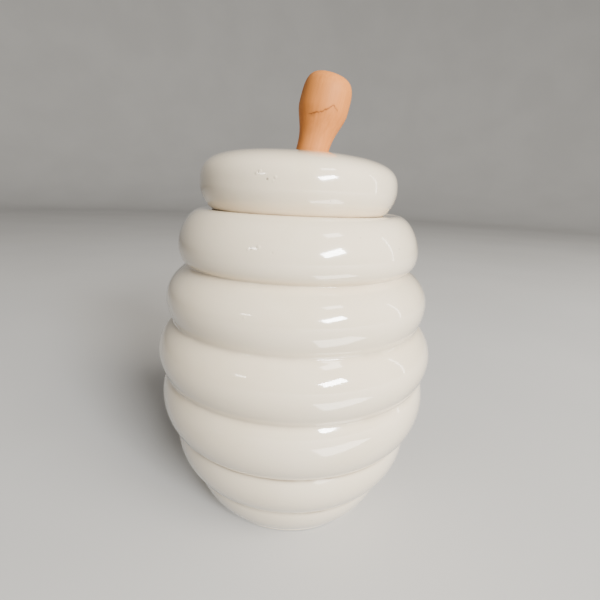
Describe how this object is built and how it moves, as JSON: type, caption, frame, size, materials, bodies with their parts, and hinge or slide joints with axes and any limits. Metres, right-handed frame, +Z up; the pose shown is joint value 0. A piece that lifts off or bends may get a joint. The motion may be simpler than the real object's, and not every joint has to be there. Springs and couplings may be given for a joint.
{
  "type": "honey pot with lift-off lid and dipper",
  "caption": "Beehive-shaped glazed ceramic honey pot with rounded rings, a loose domed lid with a hole in its crown, and a turned wooden dipper leaning in the hole.",
  "frame": {"origin": "centre of the pot's round foot, on the surface it stands on", "axes": "+Z up along the pot's axis; +X to the side that the dipper's handle leans to; the picture looks along +Y"},
  "size_m": [0.09, 0.09, 0.1395],
  "materials": {
    "glaze": "glossy warm white glaze",
    "lid_glaze": "glossy warm white glaze",
    "dipper_wood": "smooth satin, turned"
  },
  "bodies": {
    "pot": {"pot": "glaze"},
    "lid": {"lid": "lid_glaze"},
    "dipper": {"dipper": "dipper_wood"}
  },
  "joints": [
    {"name": "lid_lift", "type": "slide", "parent": "pot", "child": "lid", "axis": [0.225, 0, 0.9744], "range_m": [0, 0.11]},
    {"name": "dipper_pull", "type": "slide", "parent": "lid", "child": "dipper", "axis": [0.225, 0, 0.9744], "range_m": [0, 0.073]}
  ]
}
